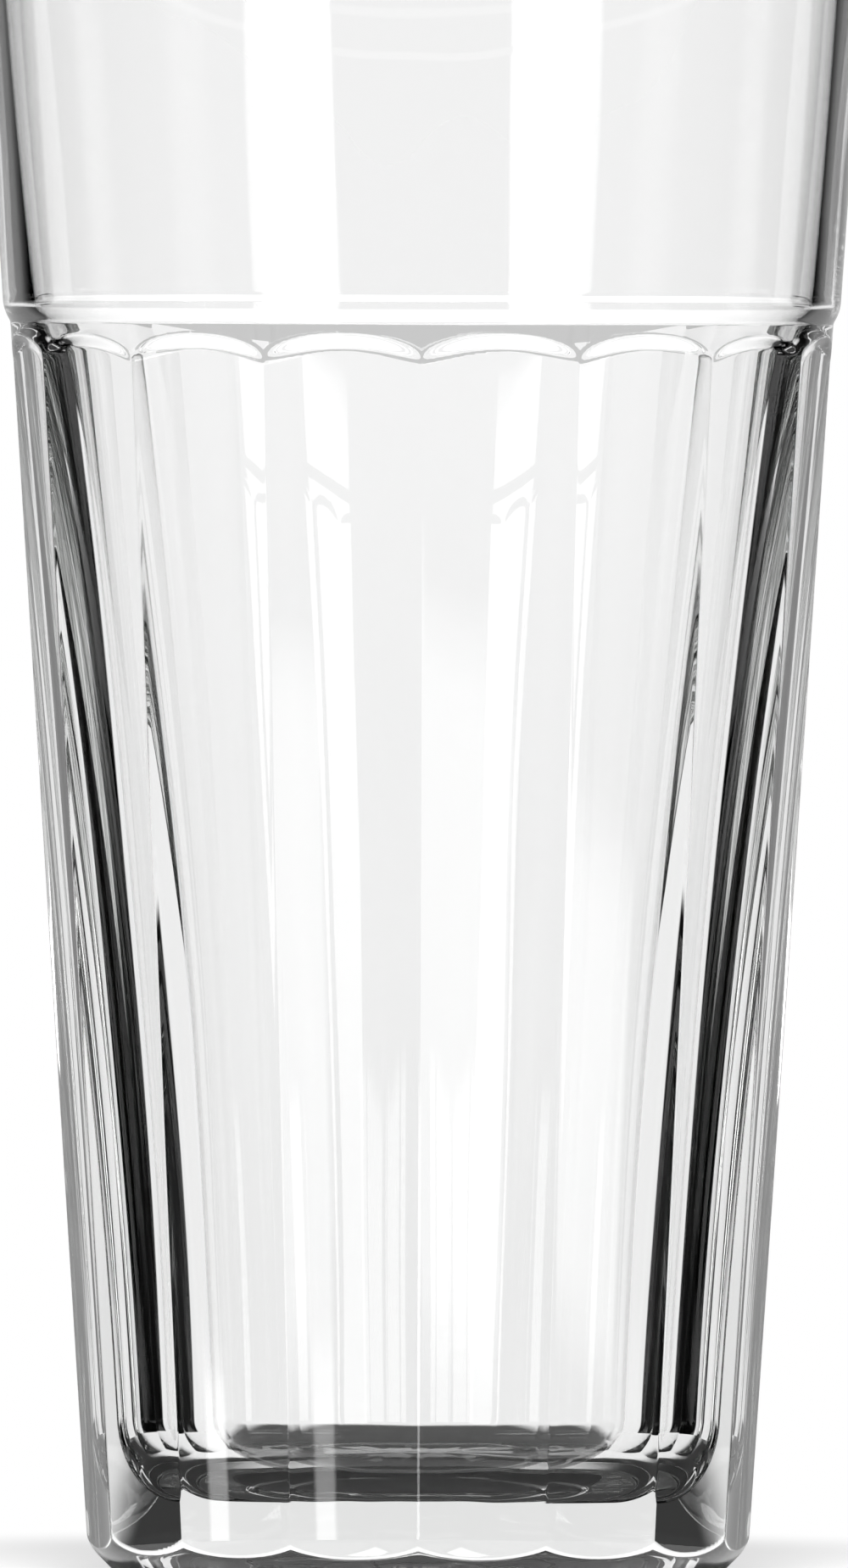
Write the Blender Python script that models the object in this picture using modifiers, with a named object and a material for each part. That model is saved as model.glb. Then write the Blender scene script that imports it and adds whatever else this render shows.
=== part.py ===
"""A pint glass: one piece of clear pressed glass, with a plain band at the lip above sixteen flat panels.

Run it with blender --background --python part.py, or from Blender's text editor. It works in metres
with +Z up. The origin is on the axis of the glass, on the surface that the glass stands on, and a
ridge between two panels faces -Y.
"""

import collections
import math

import bpy
from mathutils import Vector

MM = 0.001

# Overall sizes
HEIGHT = 160.0 * MM
RIM_DIAMETER = 85.4 * MM
HEEL_DIAMETER = 63.6 * MM  # at the foot of the wall, just above the bevel

# The plain band below the lip, which stands a little proud of the wall under it
BAND_DEPTH = 39.3 * MM  # from the rim down to the band's lower edge
BAND_DIAMETER = 80.1 * MM  # the band's own taper, carried down to its lower edge
BAND_STEP = 0.58 * MM  # from the band in to the wall
BAND_EDGE_HEIGHT = 0.95 * MM  # of the slope that the lower edge turns in on
BAND_EDGE_ROUND = 3.9 * MM

# Flat panels pressed round the wall, each with an arched top
PANEL_COUNT = 16
PANEL_MARGIN = 0.95 * MM  # from the band's lower edge down to the crown of the arches
ARCH_RISE = 1.45 * MM
RIDGE_INSET = 0.08 * MM  # of the ridges between panels, from the turned wall

# The heel and the ring that the glass stands on
HEEL_BEVEL = 3.6 * MM
HEEL_ROUND = 2.6 * MM
RING_WIDTH = 4.2 * MM
RING_ROUND = 0.5 * MM
RECESS_DEPTH = 1.2 * MM
RECESS_SLOPE = 3.0 * MM  # across the slope from the ring up to the middle of the underside

# The inside, given by the thickness of the glass
LIP_WALL = 2.2 * MM
BAND_WALL = 2.9 * MM  # at the band's lower edge
FLOOR_WALL = 11.6 * MM  # at the height of the floor inside
BORE_BOW = 3.4 * MM  # of the inner wall, in from a straight taper, halfway between floor and band
BASE_THICKNESS = 8.6 * MM
FLOOR_ROUND = 7.8 * MM

# How finely the round shapes are divided
TURN_STEPS = 6 * PANEL_COUNT
BORE_STEPS = 8  # straight lengths that the bowed part of the inner wall is made of
ROUND_STEP = math.radians(15.0)
MERGE_DISTANCE = 0.01 * MM
CUTTER_MARGIN = 5.0 * MM

# Places that follow from the sizes above
SHOULDER = HEIGHT - BAND_DEPTH
ARCH_CROWN = SHOULDER - PANEL_MARGIN
RING_RADIUS = HEEL_DIAMETER / 2 - HEEL_BEVEL
ACROSS_FLATS = math.cos(math.pi / PANEL_COUNT)  # a panel's middle, as a share of its ridges' radius

Corner = collections.namedtuple("Corner", "radius height round", defaults=(0.0,))


def between(low, high, height):
    """The radius at a height on the straight line through two corners."""
    share = (height - low.height) / (high.height - low.height)
    return low.radius + share * (high.radius - low.radius)


def rounded(corners):
    """An outline through the corners as points (x, 0, z), with each corner's round as an arc.

    Where two rounds meet on one side, each keeps to its share of that side.
    """
    places = [Vector((corner.radius, corner.height)) for corner in corners]
    outline = [places[0]]
    for index in range(1, len(corners) - 1):
        radius = corners[index].round
        if not radius:
            outline.append(places[index])
            continue
        sides = []
        room = []
        for neighbour in (index - 1, index + 1):
            side = places[neighbour] - places[index]
            room.append(side.length * radius / (radius + corners[neighbour].round))
            sides.append(side.normalized())
        turn = math.pi - sides[0].angle(sides[1])
        reach = min(radius * math.tan(turn / 2), *room)
        to_centre = reach / math.sin(turn / 2)
        centre = places[index] + (sides[0] + sides[1]).normalized() * to_centre
        first, last = (places[index] + side * reach - centre for side in sides)
        count = math.ceil(turn / ROUND_STEP)
        for step in range(count + 1):
            spoke = first.slerp(last, step / count)  # of unit length
            outline.append(centre + spoke * first.length)
    outline.append(places[-1])
    return [(place.x, 0.0, place.y) for place in outline]


def turned(name, corners, steps, smooth, collection):
    """An object turned about Z from an outline that runs down its outer side."""
    outline = rounded(corners)
    mesh = bpy.data.meshes.new(name)
    mesh.from_pydata(outline, [(i, i + 1) for i in range(len(outline) - 1)], [])
    turned_object = bpy.data.objects.new(name, mesh)
    collection.objects.link(turned_object)
    screw = turned_object.modifiers.new("turn", "SCREW")
    screw.axis = "Z"
    screw.angle = math.tau
    screw.steps = steps
    screw.render_steps = steps
    screw.use_merge_vertices = True
    screw.merge_threshold = MERGE_DISTANCE
    screw.use_smooth_shade = smooth
    return turned_object


def wall_ends():
    """The two ends of the turned wall's outer side: at the heel, and under the band."""
    heel = Corner(HEEL_DIAMETER / 2, HEEL_BEVEL, HEEL_ROUND)
    shoulder = Corner(BAND_DIAMETER / 2 - BAND_STEP, SHOULDER)
    return heel, shoulder


def bore_corners(floor, top):
    """The bowed part of the inner wall, from the floor's corner up to the band, without the first corner."""
    bore = []
    for step in range(1, BORE_STEPS + 1):
        share = step / BORE_STEPS
        height = floor.height + share * (top.height - floor.height)
        bow = 4 * BORE_BOW * share * (1 - share)
        bore.append(Corner(between(floor, top, height) - bow, height))
    return bore


def blank_corners():
    """The glass before its panels: up the inside, over the lip, down the outside and under the foot."""
    heel, shoulder = wall_ends()
    rim_radius = RIM_DIAMETER / 2
    rim = Corner(rim_radius, HEIGHT, LIP_WALL / 2)
    band_foot = Corner(BAND_DIAMETER / 2, SHOULDER)
    edge_height = SHOULDER + BAND_EDGE_HEIGHT
    floor = Corner(between(heel, shoulder, BASE_THICKNESS) - FLOOR_WALL, BASE_THICKNESS, FLOOR_ROUND)
    recess_radius = RING_RADIUS - RING_WIDTH
    return [
        Corner(0.0, BASE_THICKNESS),
        floor,
        *bore_corners(floor, Corner(band_foot.radius - BAND_WALL, SHOULDER)),
        Corner(rim_radius - LIP_WALL, HEIGHT, LIP_WALL / 2),
        rim,
        Corner(between(band_foot, rim, edge_height), edge_height, BAND_EDGE_ROUND),
        shoulder,
        heel,
        Corner(RING_RADIUS, 0.0, RING_ROUND),
        Corner(recess_radius, 0.0, RING_ROUND),
        Corner(recess_radius - RECESS_SLOPE, RECESS_DEPTH),
        Corner(0.0, RECESS_DEPTH),
    ]


def panel_corners():
    """The ridges of a many-sided cone that flares out at the top, which leaves the panels' arched tops.

    The flare's ridges pass the turned wall at the foot of the arches and its flat sides pass it at
    their crown.
    """
    heel, shoulder = wall_ends()
    arch_foot = ARCH_CROWN - ARCH_RISE
    foot = Corner(between(heel, shoulder, arch_foot), arch_foot)
    crown = Corner(between(heel, shoulder, ARCH_CROWN) / ACROSS_FLATS, ARCH_CROWN)
    flare_slope = (crown.radius - foot.radius) / ARCH_RISE
    wall_slope = (shoulder.radius - heel.radius) / (shoulder.height - heel.height)
    flare_start = arch_foot - RIDGE_INSET / (flare_slope - wall_slope)
    flare_end = (ARCH_CROWN + SHOULDER) / 2
    outside = RIM_DIAMETER / 2 / ACROSS_FLATS + CUTTER_MARGIN
    below = -CUTTER_MARGIN
    return [
        Corner(0.0, HEIGHT + CUTTER_MARGIN),
        Corner(outside, HEIGHT + CUTTER_MARGIN),
        Corner(outside, flare_end),
        Corner(between(foot, crown, flare_end), flare_end),
        Corner(between(foot, crown, flare_start), flare_start),
        Corner(between(heel, shoulder, below) - RIDGE_INSET, below),
        Corner(0.0, below),
    ]


def clear_glass():
    """Colourless soda-lime glass with a bright, fire-polished surface."""
    material = bpy.data.materials.new("clear_pressed_glass")
    material.use_nodes = True
    shader = material.node_tree.nodes["Principled BSDF"]
    shader.inputs["Base Color"].default_value = (0.97, 0.98, 0.98, 1.0)
    shader.inputs["Metallic"].default_value = 0.0
    shader.inputs["Roughness"].default_value = 0.02
    shader.inputs["IOR"].default_value = 1.52
    shader.inputs["Transmission Weight"].default_value = 1.0
    return material


def new_collection(name):
    """A collection in the scene."""
    collection = bpy.data.collections.new(name)
    bpy.context.scene.collection.children.link(collection)
    return collection


def main():
    """Clears the scene, then turns the glass and trims its wall to the panels."""
    for old in list(bpy.data.objects):
        bpy.data.objects.remove(old)
    parts = new_collection("pint_glass")
    cutters = new_collection("cutters")

    panel_former = turned("panel_former", panel_corners(), PANEL_COUNT, False, cutters)
    panel_former.hide_render = True
    panel_former.display_type = "WIRE"

    glass_body = turned("glass_body", blank_corners(), TURN_STEPS, True, parts)
    glass_body.data.materials.append(clear_glass())
    panels = glass_body.modifiers.new("panels", "BOOLEAN")
    panels.operation = "INTERSECT"
    panels.object = panel_former


main()
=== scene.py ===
"""A pint glass of clear pressed glass, shown on a white studio sweep.

The glass is turned from its outline and then pressed into sixteen flat panels, in metres with +Z up.
Azimuths are in degrees about +Z: 0 faces the camera, along -Y, and 90 is on its right, along +X.
"""

import logging
import math
from dataclasses import dataclass, field
from enum import Enum
from typing import Any

import bpy
import numpy as np
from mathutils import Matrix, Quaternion, Vector


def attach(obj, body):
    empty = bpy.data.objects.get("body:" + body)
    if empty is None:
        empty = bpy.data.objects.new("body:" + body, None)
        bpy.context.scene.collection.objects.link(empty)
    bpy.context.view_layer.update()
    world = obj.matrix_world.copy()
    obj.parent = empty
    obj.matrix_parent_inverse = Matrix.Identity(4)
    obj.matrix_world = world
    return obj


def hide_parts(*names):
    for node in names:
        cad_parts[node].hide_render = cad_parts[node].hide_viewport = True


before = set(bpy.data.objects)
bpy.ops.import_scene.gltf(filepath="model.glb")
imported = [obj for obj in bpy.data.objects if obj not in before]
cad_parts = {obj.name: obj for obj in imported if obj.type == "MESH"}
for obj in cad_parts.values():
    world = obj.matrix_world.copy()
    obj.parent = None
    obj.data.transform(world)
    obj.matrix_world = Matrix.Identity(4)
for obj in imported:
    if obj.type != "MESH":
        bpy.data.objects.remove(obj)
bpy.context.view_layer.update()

MM = 0.001
IMAGE_WIDTH = 1000
IMAGE_HEIGHT = 1849

# Counts of faces and mirrorings on a ray's way, as the values to test them against
ANY_TURN = 0.5
ONE_THICKNESS = 2.5  # in and out of the glass once
TWO_THICKNESSES = 3.5

log = logging.getLogger("pint_glass")


class Zone(Enum):
    """Which part of the outline a stretch of it belongs to."""

    UNDERSIDE = "underside"
    WALL = "wall"
    LIP = "lip"
    BORE = "bore"


def linear(hex_colour: str) -> tuple[float, float, float, float]:
    """Turns an sRGB hex colour to the linear values that a shader takes.

    Args:
        hex_colour: Six hex digits after a "#".

    Returns:
        Red, green, blue and an alpha of 1.
    """
    channels = [int(hex_colour[place:place + 2], 16) / 255 for place in (1, 3, 5)]
    red, green, blue = (c / 12.92 if c <= 0.04045 else ((c + 0.055) / 1.055) ** 2.4 for c in channels)
    return red, green, blue, 1.0


def node(
    tree: bpy.types.NodeTree, kind: str, settings: dict[str, Any] | None = None, **inputs: Any
) -> bpy.types.Node:
    """Adds a node with its settings and what feeds its inputs.

    Args:
        tree: The node tree that the node goes in.
        kind: The node's type, such as "ShaderNodeMath".
        settings: Values of the node's own properties.
        **inputs: An input's name with spaces as "_", or "at_" and its number. A socket is linked, and
            anything else becomes the input's value.

    Returns:
        The new node.
    """
    made = tree.nodes.new(kind)
    for name, value in (settings or {}).items():
        setattr(made, name, value)
    for name, value in inputs.items():
        socket = made.inputs[int(name[3:])] if name.startswith("at_") else made.inputs[name.replace("_", " ")]
        if isinstance(value, bpy.types.NodeSocket):
            tree.links.new(value, socket)
        else:
            socket.default_value = value
    return made


def soft_min(first: np.ndarray, second: np.ndarray, blend: float) -> np.ndarray:
    """The smaller of two lengths, with the corner between them rounded over a blend length."""
    share = np.clip(0.5 + 0.5 * (second - first) / blend, 0.0, 1.0)
    return second * (1 - share) + first * share - blend * share * (1 - share)


def soft_max(first: np.ndarray, second: np.ndarray, blend: float) -> np.ndarray:
    """The larger of two lengths, with the corner between them rounded over a blend length."""
    return -soft_min(-first, -second, blend)


def ease(share: np.ndarray) -> np.ndarray:
    """A share from 0 to 1 that starts and ends level."""
    held = np.clip(share, 0.0, 1.0)
    return held * held * (3 - 2 * held)


@dataclass(frozen=True)
class ClearPressedGlass:
    """Colourless soda-lime glass, pressed in a mould and fire-polished."""

    name: str = "clear_pressed_glass"
    surface: str = "#FFFFFF"
    depth_tint: str = "#DADBDA"
    depth: float = 93.0  # mm of glass that light has crossed when it has about taken the tint
    ior: float = 1.52
    roughness: float = 0.0
    ripple_size: float = 9.0  # mm across a ripple
    ripple_depth: float = 0.0025  # mm

    def material(self) -> bpy.types.Material:
        """Makes the material.

        Returns:
            The new material.
        """
        made = bpy.data.materials.new(self.name)
        made.use_nodes = True
        tree = made.node_tree
        tree.nodes.clear()
        # The faint ripple that a mould and the fire leave, which unsettles straight reflections
        place = node(tree, "ShaderNodeTexCoord").outputs["Object"]
        ripple = node(
            tree, "ShaderNodeTexNoise", Vector=place, Scale=1 / (self.ripple_size * MM), Detail=1.0
        )
        bump = node(tree, "ShaderNodeBump", Distance=self.ripple_depth * MM, Height=ripple.outputs["Fac"])
        shader = node(
            tree, "ShaderNodeBsdfPrincipled",
            Normal=bump.outputs["Normal"],
            Base_Color=linear(self.surface),
            Roughness=self.roughness,
            IOR=self.ior,
            Transmission_Weight=1.0,
        )
        # Takes a little light over its thickness, so the thick base reads greyer than the thin lip
        body = node(
            tree, "ShaderNodeVolumeAbsorption", Color=linear(self.depth_tint), Density=1 / (self.depth * MM)
        )
        node(
            tree, "ShaderNodeOutputMaterial", Surface=shader.outputs["BSDF"], Volume=body.outputs["Volume"]
        )
        return made


@dataclass
class GlassBody:
    """The one piece of the glass. Lengths are in millimetres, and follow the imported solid."""

    name: str = "pressed_glass_body"
    height: float = 160.0
    rim_radius: float = 42.7
    heel_radius: float = 31.8
    heel_bevel: float = 3.6
    heel_blend: float = 1.26  # over which the bevel turns into the wall
    shoulder: float = 120.7
    shoulder_radius: float = 39.47
    band_radius: float = 40.05
    band_edge_round: float = 3.9
    band_edge_rise: float = 2.1  # above the band's foot, where its edge starts to turn in
    step_blend: float = 0.105
    panel_count: int = 16
    ridge_inset: float = 0.08
    ridge_round: float = 0.52
    panel_crown: float = 0.06  # of a panel's middle, which the fire leaves a little full
    arch_crown: float = 119.75
    arch_rise: float = 1.45
    arch_ramp: float = 1.62  # height of the slope under an arch
    press_blend: float = 0.105
    ring_width: float = 4.2
    ring_round: float = 0.5
    recess_depth: float = 1.2
    recess_slope: float = 3.0
    lip_wall: float = 2.2
    band_wall: float = 2.9
    floor_wall: float = 11.6
    bore_bow: float = 3.4
    base_thickness: float = 8.6
    floor_round: float = 7.8
    panel_steps: int = 20  # lines across each panel
    ridge_crowding: float = 1.7  # 1 spaces the lines evenly, and more brings them towards the ridges
    wave_depth: float = 0.03  # of the bore's unevenness
    floor_wave_depth: float = 0.08
    finish: ClearPressedGlass = field(default_factory=ClearPressedGlass)
    foot_finish: ClearPressedGlass = ClearPressedGlass("worn_foot_glass", roughness=0.3)

    def wall_radius(self, height: np.ndarray) -> np.ndarray:
        """The radius of the turned wall below the band, carried on as a straight taper."""
        share = (height - self.heel_bevel) / (self.shoulder - self.heel_bevel)
        return self.heel_radius + share * (self.shoulder_radius - self.heel_radius)

    def band_taper(self, height: np.ndarray) -> np.ndarray:
        """The radius of the plain band, carried on as a straight taper."""
        share = (height - self.shoulder) / (self.height - self.shoulder)
        return self.band_radius + share * (self.rim_radius - self.band_radius)

    def blank_radius(self, height: np.ndarray) -> np.ndarray:
        """The outer radius before the panels are pressed.

        Args:
            height: Heights above the table.

        Returns:
            The radius at each height.
        """
        below = np.clip(self.shoulder + self.band_edge_rise - height, 0.0, 0.8 * self.band_edge_round)
        tuck = self.band_edge_round - np.sqrt(self.band_edge_round**2 - below**2)
        band = np.where(height >= self.shoulder - 1.25, self.band_taper(height) - tuck, 0.0)
        wall = soft_max(self.wall_radius(height), band, self.step_blend)
        heel = self.heel_radius - self.heel_bevel + height
        return soft_min(wall, heel, self.heel_blend)

    def bore_radius(self, height: np.ndarray) -> np.ndarray:
        """The radius of the inside above the rounding at its floor.

        Args:
            height: Heights above the table.

        Returns:
            The radius at each height.
        """
        top = self.band_radius - self.band_wall
        foot = float(self.wall_radius(np.array(self.base_thickness))) - self.floor_wall
        share = (height - self.base_thickness) / (self.shoulder - self.base_thickness)
        bowed = foot + share * (top - foot) - 4 * self.bore_bow * share * (1 - share)
        band_share = (height - self.shoulder) / (self.height - self.shoulder)
        straight = top + band_share * (self.rim_radius - self.lip_wall - top)
        return np.where(height > self.shoulder, straight, bowed)

    def outline(self) -> dict[Zone, list[tuple[float, float]]]:
        """The outline that the blank is turned from.

        Returns:
            Points (radius, height) of each zone, from the middle of the underside out, up, over the lip
            and down to the middle of the floor inside.
        """
        ring_outer = self.heel_radius - self.heel_bevel
        ring_inner = ring_outer - self.ring_width
        recess = ring_inner - self.recess_slope
        under = [(radius, self.recess_depth) for radius in np.linspace(0, recess, 9)]
        for share in np.linspace(0, 1, 10)[1:-1]:
            rise = self.recess_depth * (1 - float(ease(np.array(share))))
            under.append((recess + share * self.recess_slope, rise))
        under += [(radius, 0.0) for radius in np.linspace(ring_inner, ring_outer - 0.3, 6)]

        # The lines are close at the heel, and closest round the arches and the band's edge
        lip_foot = self.height - self.lip_wall / 2
        heights = np.concatenate([
            np.linspace(0.06, 7.0, 44),
            np.linspace(7.6, 112.5, 46),
            np.linspace(113.0, 124.2, 76),
            np.linspace(125.0, lip_foot, 20),
        ])
        wall = list(zip(self.blank_radius(heights), heights))

        outer = float(self.blank_radius(np.array(lip_foot)))
        inner = float(self.bore_radius(np.array(lip_foot)))
        lip = []
        for turn in np.linspace(0, math.pi, 15)[1:-1]:
            radius = (outer + inner) / 2 + (outer - inner) / 2 * math.cos(turn)
            lip.append((radius, lip_foot + (self.height - lip_foot) * math.sin(turn)))

        round_top = self.base_thickness + self.floor_round
        heights = np.linspace(lip_foot, round_top, 50)
        bore = list(zip(self.bore_radius(heights), heights))
        side = bore[-1][0]
        for turn in np.linspace(0, math.pi / 2, 20)[1:]:
            radius = side - self.floor_round * (1 - math.cos(turn))
            bore.append((radius, round_top - self.floor_round * math.sin(turn)))
        bore += [(radius, self.base_thickness) for radius in np.linspace(bore[-1][0], 0, 11)[1:]]
        return {Zone.UNDERSIDE: under, Zone.WALL: wall, Zone.LIP: lip, Zone.BORE: bore}

    def turn(self) -> bpy.types.Object:
        """Draws the outline by extruding a point, and spins it round the axis.

        Returns:
            The turned blank, closed and facing outwards.
        """
        points = [
            Vector((radius, 0.0, height)) * MM
            for stretch in self.outline().values()
            for radius, height in stretch
        ]
        bpy.ops.object.select_all(action="DESELECT")
        bpy.ops.mesh.primitive_plane_add(size=MM)
        piece = bpy.context.object
        piece.name = piece.data.name = self.name
        bpy.ops.object.mode_set(mode="EDIT")
        bpy.ops.mesh.select_all(action="SELECT")
        bpy.ops.mesh.merge(type="CENTER")
        bpy.ops.transform.translate(value=points[0])
        for here, there in zip(points, points[1:]):
            bpy.ops.mesh.extrude_region_move(TRANSFORM_OT_translate={"value": there - here})
        bpy.ops.mesh.select_all(action="SELECT")
        bpy.ops.mesh.spin(steps=self.panel_count * self.panel_steps, angle=math.tau, axis=(0.0, 0.0, 1.0))
        bpy.ops.mesh.select_all(action="SELECT")
        bpy.ops.mesh.remove_doubles(threshold=0.002 * MM)
        bpy.ops.mesh.normals_make_consistent(inside=False)
        bpy.ops.mesh.select_all(action="DESELECT")
        bpy.ops.object.mode_set(mode="OBJECT")
        return piece

    def pressed_radius(self, height: np.ndarray, place: np.ndarray) -> np.ndarray:
        """The outer radius with the panels pressed in.

        Args:
            height: Heights above the table.
            place: Where each point is across its panel, from -1 at one ridge to 1 at the next.

        Returns:
            The radius at each point.
        """
        half = math.pi / self.panel_count
        turn = np.abs(place) * half
        flat = (self.wall_radius(height) - self.ridge_inset) * math.cos(half)
        centre = (flat - self.ridge_round) / math.cos(half)
        reach = centre * np.sin(half - turn)
        ridge = centre * np.cos(half - turn) + np.sqrt(np.maximum(self.ridge_round**2 - reach**2, 0.0))
        flat_end = np.arctan((flat - self.ridge_round) * math.tan(half) / flat)
        crown = self.panel_crown * (1 - place**2)
        panel = np.where(turn < flat_end, flat / np.cos(turn), ridge) + crown
        arch = self.arch_crown - self.arch_rise * place**2
        depth = ease((arch - height) / self.arch_ramp)
        blank = self.blank_radius(height)
        former = panel * depth + (blank + 0.02) * (1 - depth)
        return soft_min(blank, former, self.press_blend)

    def wave(self, azimuth: np.ndarray, height: np.ndarray) -> np.ndarray:
        """The unevenness that the plunger leaves inside, from about -1 to 1.

        Args:
            azimuth: Angles about the axis, in radians.
            height: Heights above the table.

        Returns:
            The unevenness at each point.
        """
        broad = np.sin(5 * azimuth + 0.05 * height + 1.3)
        middle = 0.6 * np.sin(9 * azimuth - 0.08 * height + 0.4)
        fine = 0.3 * np.sin(17 * azimuth + 0.11 * height + 2.2)
        return (broad + middle + fine) / 1.5

    def press(self, piece: bpy.types.Object) -> None:
        """Presses the panels into the outside of the blank, with its lines crowded towards the ridges.

        Args:
            piece: The turned blank, whose vertices are moved.
        """
        mesh = piece.data
        places = np.empty(3 * len(mesh.vertices))
        mesh.vertices.foreach_get("co", places)
        x, y, z = places.reshape(-1, 3).T / MM
        radius = np.hypot(x, y)
        step = math.tau / (self.panel_count * self.panel_steps)
        line = np.rint(np.arctan2(x, -y) / step).astype(int) % (self.panel_count * self.panel_steps)
        panel, across = np.divmod(line, self.panel_steps)
        place = across / self.panel_steps * 2 - 1
        place = np.sign(place) * (1 - (1 - np.abs(place)) ** self.ridge_crowding)
        azimuth = (panel + (place + 1) / 2) * math.tau / self.panel_count
        outside = (np.abs(radius - self.blank_radius(z)) < 0.01) & (z > 0.03)
        inside = ~outside & (z > self.base_thickness - 0.1) & (z < self.height - self.lip_wall)
        wave = self.wave(azimuth, z)
        lift = ease((self.base_thickness + self.floor_round - z) / self.floor_round) * ease(radius / 12.0)
        uneven = radius + inside * self.wave_depth * wave * (1 - lift)
        radius = np.where(outside, self.pressed_radius(z, place), uneven)
        z = z + inside * self.floor_wave_depth * wave * lift
        places = np.stack([radius * np.sin(azimuth), -radius * np.cos(azimuth), z], axis=1) * MM
        mesh.vertices.foreach_set("co", places.ravel())
        mesh.update()

    def dress(self, piece: bpy.types.Object) -> None:
        """Gives the glass its finish, with the foot ring worn dull where it stands.

        Args:
            piece: The pressed glass.
        """
        mesh = piece.data
        mesh.materials.append(self.finish.material())
        mesh.materials.append(self.foot_finish.material())
        centres = np.empty(3 * len(mesh.polygons))
        mesh.polygons.foreach_get("center", centres)
        x, y, z = centres.reshape(-1, 3).T / MM
        worn = (z < 0.02) & (np.hypot(x, y) > self.heel_radius - self.heel_bevel - self.ring_width)
        mesh.polygons.foreach_set("material_index", worn.astype(np.int32))
        mesh.update()

    def build(self) -> bpy.types.Object:
        """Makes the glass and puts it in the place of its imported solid.

        Returns:
            The finished piece.
        """
        piece = self.turn()
        self.press(piece)
        bpy.ops.object.shade_smooth()
        self.dress(piece)
        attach(piece, "root")
        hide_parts("glass_body")
        return piece


class Sight(Enum):
    """Which light shows a card."""

    GLASS = "light that has met the glass"
    INSIDE = "reflections inside the glass"
    SHEEN = "reflections on the outside of the glass"


@dataclass(frozen=True)
class Card:
    """A sheet of white, grey or black card far round the glass, on both sides unless it isn't paired.

    Angles are in degrees, and a later card lies over an earlier one.
    """

    azimuth: tuple[float, float]
    elevation: tuple[float, float]
    level: float
    soft: float = 3.0  # half the width of its edge
    sight: Sight = Sight.GLASS
    paired: bool = True


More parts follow.
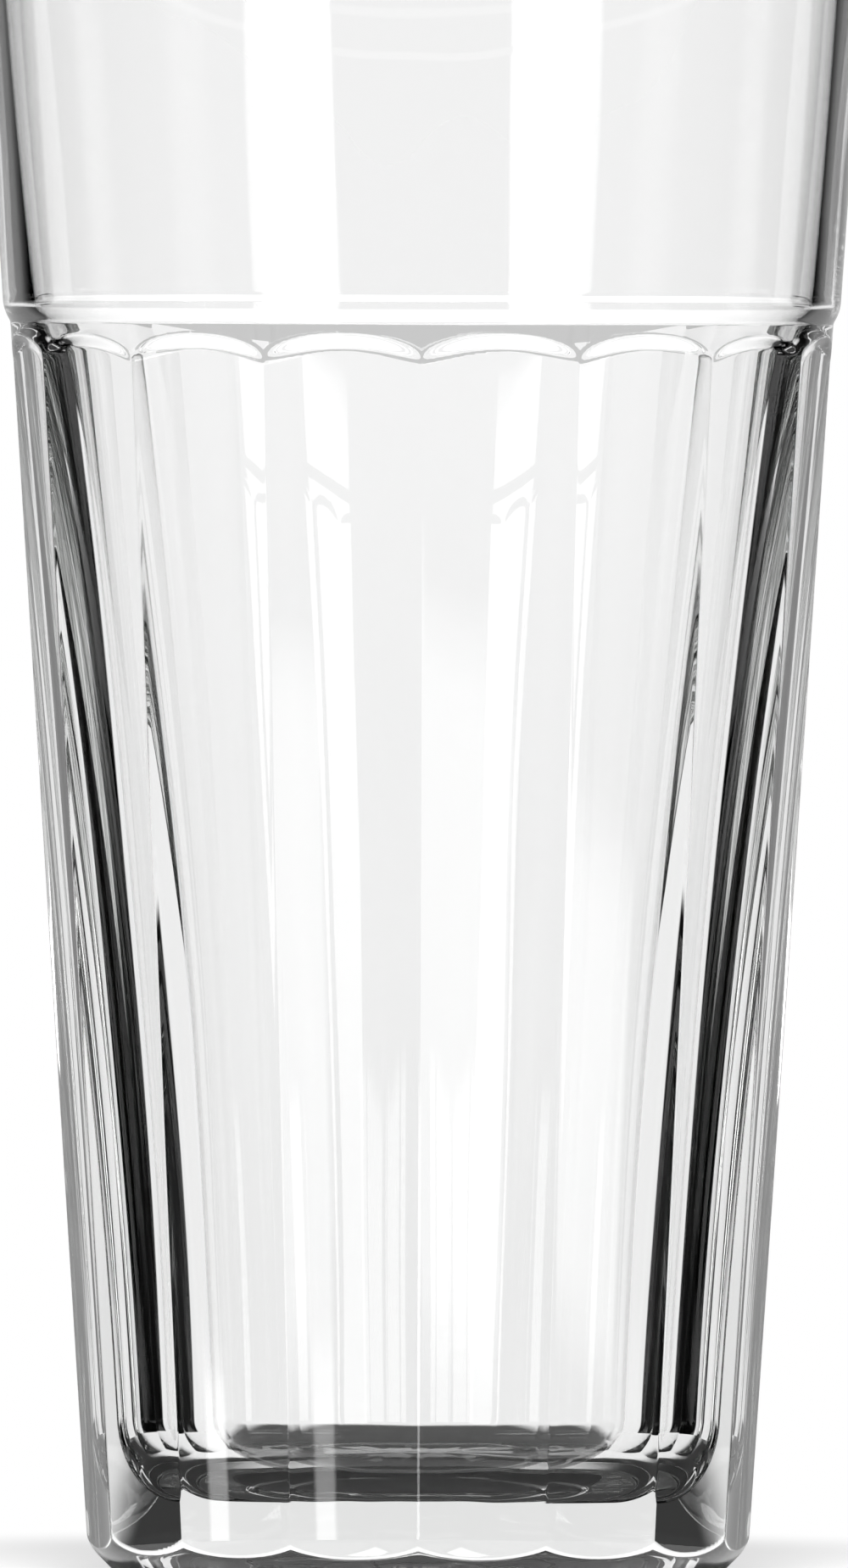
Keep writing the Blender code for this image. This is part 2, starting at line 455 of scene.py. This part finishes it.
@dataclass
class Studio:
    """A white sweep in even white light, with cards at the sides that draw the edges of the glass."""

    floor_radius: float = 10.0  # m
    floor_colour: str = "#FFFFFF"
    camera_fill: float = 0.7  # how far the shadow is lightened to the eye, as light through the glass would
    contact: float = 62.0  # mm from the axis, where the floor is too near for reflections to look past it
    strip_distance: float = 540.0  # mm
    strip_width: float = 300.0
    strip_edges: tuple[float, float] = (14.5, 40.0)  # mm above the floor
    # How bright the strip glows; it paints the grey shade between the arches
    strip_level: float = 0.6
    sun_share: float = 0.95  # of the floor's light; the room gives the rest
    sun_height: float = 58.0
    sun_size: float = 10.0
    room: float = 0.08
    cards: tuple[Card, ...] = (
        # The white sweep, and the white wall behind with a brighter stretch that the arches show
        Card((-10, 190), (-100, 0), 1.0),
        Card((127, 190), (-8, 22), 1.0),
        Card((127, 190), (4.5, 22), 1.3, 1.0),
        # Black at the back on both sides, for the streaks
        Card((129, 166), (-34, 0.8), 0.0, 1.2),
        # Bright panels beside the camera, for the white strips
        Card((26, 51), (0, 19.5), 4.0, 0.9),
        # A low black card, for the outer corners of the base
        Card((118, 138), (-1, 3.72), 0.05, 0.12),
        # Dark above the wall behind, for the heel
        Card((90, 190), (4, 100), 0.05, 1.0, Sight.INSIDE),
        # What the outer face mirrors: grey in front, black at the sides and pale behind
        Card((-10, 75), (-60, -1), 0.25, 3.0, Sight.SHEEN),
        Card((70, 142), (-60, 60), 0.0, 5.0, Sight.SHEEN),
        Card((142, 190), (-60, 60), 0.6, 5.0, Sight.SHEEN),
        # Bright edges on the panels of the wall
        Card((-45, -23.4), (-8.75, -7.7), 2.6, 0.12, Sight.SHEEN, paired=False),
        Card((10, 23.2), (-8.75, -7.7), 2.6, 0.12, Sight.SHEEN, paired=False),
        Card((55, 68.3), (-7.65, -6.9), 2.6, 0.12, Sight.SHEEN, paired=False),
        # Narrow bright bands across the base
        Card((-24.1, -23.4), (-12, -8.75), 5.0, 0.1, Sight.SHEEN, paired=False),
        Card((-69.2, -68.4), (-12, -7.65), 5.0, 0.1, Sight.SHEEN, paired=False),
        Card((-12, 16), (-12, -8.75), 5.0, 0.3, Sight.SHEEN, paired=False),
    )

    def floor(self) -> bpy.types.Object:
        """Makes the floor, a wide disc that reflections look past except near the glass.

        Returns:
            The floor.
        """
        bpy.ops.object.select_all(action="DESELECT")
        bpy.ops.mesh.primitive_circle_add(vertices=96, radius=self.floor_radius, fill_type="NGON")
        floor = bpy.context.object
        floor.name = "white_sweep"
        made = bpy.data.materials.new("matt_white_sweep")
        made.use_nodes = True
        tree = made.node_tree
        tree.nodes.clear()
        path = node(tree, "ShaderNodeLightPath")
        reflected = node(
            tree, "ShaderNodeMath", {"operation": "GREATER_THAN"},
            at_0=path.outputs["Glossy Depth"], at_1=ANY_TURN,
        ).outputs[0]
        place = node(tree, "ShaderNodeTexCoord").outputs["Object"]
        reach = node(tree, "ShaderNodeVectorMath", {"operation": "LENGTH"}, at_0=place)
        away = node(
            tree, "ShaderNodeMath", {"operation": "GREATER_THAN"},
            at_0=reach.outputs["Value"], at_1=self.contact * MM,
        ).outputs[0]
        past = node(tree, "ShaderNodeMath", {"operation": "MULTIPLY"}, at_0=reflected, at_1=away).outputs[0]
        # The shadow is lightened to the eye and through one thickness of glass, but not in reflections
        thin = node(
            tree, "ShaderNodeMath", {"operation": "LESS_THAN"},
            at_0=path.outputs["Transmission Depth"], at_1=ONE_THICKNESS,
        ).outputs[0]
        straight = node(tree, "ShaderNodeMath", {"operation": "SUBTRACT"}, at_0=1.0, at_1=reflected)
        plain = node(
            tree, "ShaderNodeMath", {"operation": "MULTIPLY"}, at_0=thin, at_1=straight.outputs[0]
        ).outputs[0]
        fill = node(tree, "ShaderNodeMath", {"operation": "MULTIPLY"}, at_0=plain, at_1=self.camera_fill)
        matt = node(tree, "ShaderNodeBsdfDiffuse", Color=linear(self.floor_colour)).outputs[0]
        white = node(tree, "ShaderNodeEmission", Color=linear(self.floor_colour), Strength=1.0).outputs[0]
        filled = node(tree, "ShaderNodeMixShader", at_0=fill.outputs[0], at_1=matt, at_2=white).outputs[0]
        clear = node(tree, "ShaderNodeBsdfTransparent").outputs[0]
        mixed = node(tree, "ShaderNodeMixShader", at_0=past, at_1=filled, at_2=clear)
        node(tree, "ShaderNodeOutputMaterial", Surface=mixed.outputs[0])
        floor.data.materials.append(made)
        return floor

    def strip(self) -> bpy.types.Object:
        """Makes a low strip behind the glass that glows grey, which paints the grey shade between the arches.

        Only light that has gone straight through both walls shows it.

        Returns:
            The strip.
        """
        low, high = self.strip_edges
        bpy.ops.object.select_all(action="DESELECT")
        bpy.ops.mesh.primitive_plane_add(size=1.0, rotation=(math.pi / 2, 0.0, 0.0))
        strip = bpy.context.object
        strip.name = "grey_strip"
        strip.location = Vector((0.0, self.strip_distance, (low + high) / 2)) * MM
        strip.scale = (self.strip_width * MM, (high - low) * MM, 1.0)
        made = bpy.data.materials.new("glowing_grey_card")
        made.use_nodes = True
        tree = made.node_tree
        tree.nodes.clear()
        path = node(tree, "ShaderNodeLightPath")
        through = node(
            tree, "ShaderNodeMath", {"operation": "GREATER_THAN"},
            at_0=path.outputs["Transmission Depth"], at_1=TWO_THICKNESSES,
        ).outputs[0]
        straight = node(
            tree, "ShaderNodeMath", {"operation": "LESS_THAN"},
            at_0=path.outputs["Glossy Depth"], at_1=ANY_TURN,
        ).outputs[0]
        seen = node(tree, "ShaderNodeMath", {"operation": "MULTIPLY"}, at_0=through, at_1=straight).outputs[0]
        clear = node(tree, "ShaderNodeBsdfTransparent").outputs[0]
        # The strip glows of itself and nothing lights it: a painted grey shade for the glass between the
        # arches
        grey = node(tree, "ShaderNodeEmission", Color=linear("#FFFFFF"), Strength=self.strip_level).outputs[0]
        mixed = node(tree, "ShaderNodeMixShader", at_0=seen, at_1=clear, at_2=grey)
        node(tree, "ShaderNodeOutputMaterial", Surface=mixed.outputs[0])
        strip.data.materials.append(made)
        strip.visible_camera = False
        strip.visible_shadow = False
        strip.visible_diffuse = False
        return strip

    def lay(self, tree: bpy.types.NodeTree, ground: Any, sight: Sight) -> bpy.types.NodeSocket:
        """Lays the cards of one sight over the light that is there already.

        Args:
            tree: The world's node tree.
            ground: The level behind the cards, a number or a socket.
            sight: Which cards to lay.

        Returns:
            The level with the cards on it.
        """
        away = node(tree, "ShaderNodeTexCoord").outputs["Generated"]
        parts = node(tree, "ShaderNodeSeparateXYZ", Vector=away).outputs
        front = node(tree, "ShaderNodeMath", {"operation": "MULTIPLY"}, at_0=parts["Y"], at_1=-1.0).outputs[0]
        azimuth = node(
            tree, "ShaderNodeMath", {"operation": "ARCTAN2"}, at_0=parts["X"], at_1=front
        ).outputs[0]
        either = node(tree, "ShaderNodeMath", {"operation": "ABSOLUTE"}, at_0=azimuth).outputs[0]
        elevation = node(tree, "ShaderNodeMath", {"operation": "ARCSINE"}, at_0=parts["Z"]).outputs[0]
        level = ground
        for card in self.cards:
            if card.sight is not sight:
                continue
            round_the_glass = either if card.paired else azimuth
            soft = math.radians(card.soft)
            masks = []
            for angle, (low, high) in ((round_the_glass, card.azimuth), (elevation, card.elevation)):
                middle, half = math.radians((low + high) / 2), math.radians((high - low) / 2)
                off = node(tree, "ShaderNodeMath", {"operation": "SUBTRACT"}, at_0=angle, at_1=middle)
                far = node(tree, "ShaderNodeMath", {"operation": "ABSOLUTE"}, at_0=off.outputs[0])
                mask = node(
                    tree, "ShaderNodeMapRange", {"interpolation_type": "SMOOTHSTEP"},
                    Value=far.outputs[0], From_Min=half - soft, From_Max=half + soft, To_Min=1.0, To_Max=0.0,
                )
                masks.append(mask.outputs[0])
            both = node(tree, "ShaderNodeMath", {"operation": "MULTIPLY"}, at_0=masks[0], at_1=masks[1])
            laid = node(
                tree, "ShaderNodeMix", {"data_type": "FLOAT"},
                at_0=both.outputs[0], at_2=level, at_3=card.level,
            )
            level = laid.outputs[0]
        return level

    def light(self) -> bpy.types.World:
        """Makes the world: white to the eye, dim to the floor, and cards to light that has met the glass.

        Returns:
            The world.
        """
        world = bpy.data.worlds.new("white_room")
        bpy.context.scene.world = world
        world.use_nodes = True
        world.cycles.sampling_method = "NONE"
        tree = world.node_tree
        tree.nodes.clear()
        path = node(tree, "ShaderNodeLightPath")
        glass = self.lay(tree, self.room, Sight.GLASS)
        reflected = node(
            tree, "ShaderNodeMath", {"operation": "GREATER_THAN"},
            at_0=path.outputs["Glossy Depth"], at_1=ANY_TURN,
        )
        inside = node(
            tree, "ShaderNodeMix", {"data_type": "FLOAT"},
            at_0=reflected.outputs[0], at_2=glass, at_3=self.lay(tree, glass, Sight.INSIDE),
        )
        outside = node(
            tree, "ShaderNodeMath", {"operation": "LESS_THAN"},
            at_0=path.outputs["Transmission Depth"], at_1=ANY_TURN,
        )
        cards = node(
            tree, "ShaderNodeMix", {"data_type": "FLOAT"},
            at_0=outside.outputs[0], at_2=inside.outputs[0], at_3=self.lay(tree, glass, Sight.SHEEN),
        )
        from_floor = node(
            tree, "ShaderNodeMath", {"operation": "GREATER_THAN"},
            at_0=path.outputs["Diffuse Depth"], at_1=ANY_TURN,
        )
        floor = node(
            tree, "ShaderNodeMix", {"data_type": "FLOAT"},
            at_0=from_floor.outputs[0], at_2=cards.outputs[0], at_3=1 - self.sun_share,
        )
        strength = node(
            tree, "ShaderNodeMix", {"data_type": "FLOAT"},
            at_0=path.outputs["Is Camera Ray"], at_2=floor.outputs[0], at_3=1.0,
        )
        background = node(tree, "ShaderNodeBackground", Color=linear("#FFFFFF"), Strength=strength.outputs[0])
        node(tree, "ShaderNodeOutputWorld", Surface=background.outputs[0])
        return world

    def sun(self) -> bpy.types.Object:
        """Makes the lamp over the camera, which lights the floor and leaves the shadow behind the glass.

        Returns:
            The lamp.
        """
        lamp = bpy.data.lights.new("front_lamp", "SUN")
        height = math.radians(self.sun_height)
        lamp.energy = self.sun_share * math.pi / math.sin(height)
        lamp.angle = math.radians(self.sun_size)
        placed = bpy.data.objects.new("front_lamp", lamp)
        bpy.context.scene.collection.objects.link(placed)
        placed.rotation_euler = (math.pi / 2 - height, 0.0, 0.0)
        placed.visible_glossy = False
        placed.visible_transmission = False
        return placed

    def settings(self) -> None:
        """Sets the view transform, and lets light pass through as many surfaces as the glass needs."""
        scene = bpy.context.scene
        scene.view_settings.view_transform = "Standard"
        scene.cycles.max_bounces = 32
        scene.cycles.transmission_bounces = 32
        scene.cycles.glossy_bounces = 32


@dataclass(frozen=True)
class PhotoCamera:
    """A long lens a little above the middle of the glass. Lengths are in millimetres."""

    distance: float = 3670.0
    eye_height: float = 120.6
    aim_height: float = 76.46
    offset: float = 0.34
    roll: float = 0.18
    pixels_per_mm: float = 12.3
    sensor: float = 36.0

    def build(self) -> bpy.types.Object:
        """Makes the camera and gives it to the scene.

        Returns:
            The camera.
        """
        data = bpy.data.cameras.new("photo_camera")
        camera = bpy.data.objects.new("photo_camera", data)
        bpy.context.scene.collection.objects.link(camera)
        camera.location = Vector((self.offset, -self.distance, self.eye_height)) * MM
        gaze = Vector((0.0, self.distance, self.aim_height - self.eye_height))
        camera.rotation_mode = "QUATERNION"
        roll = Quaternion((0.0, 0.0, 1.0), math.radians(self.roll))
        camera.rotation_quaternion = gaze.to_track_quat("-Z", "Y") @ roll
        data.sensor_width = self.sensor
        half_height = IMAGE_HEIGHT / 2 / self.pixels_per_mm
        data.lens = self.sensor / 2 * gaze.length / half_height
        data.clip_end = 100.0
        bpy.context.scene.camera = camera
        return camera


def main() -> None:
    """Builds the camera, the studio and the glass."""
    logging.basicConfig(level=logging.INFO, format="%(message)s")
    PhotoCamera().build()
    studio = Studio()
    studio.settings()
    studio.light()
    studio.sun()
    studio.floor()
    studio.strip()
    glass = GlassBody().build()
    log.info("%s: %d faces", glass.name, len(glass.data.polygons))


if __name__ == "__main__":
    main()
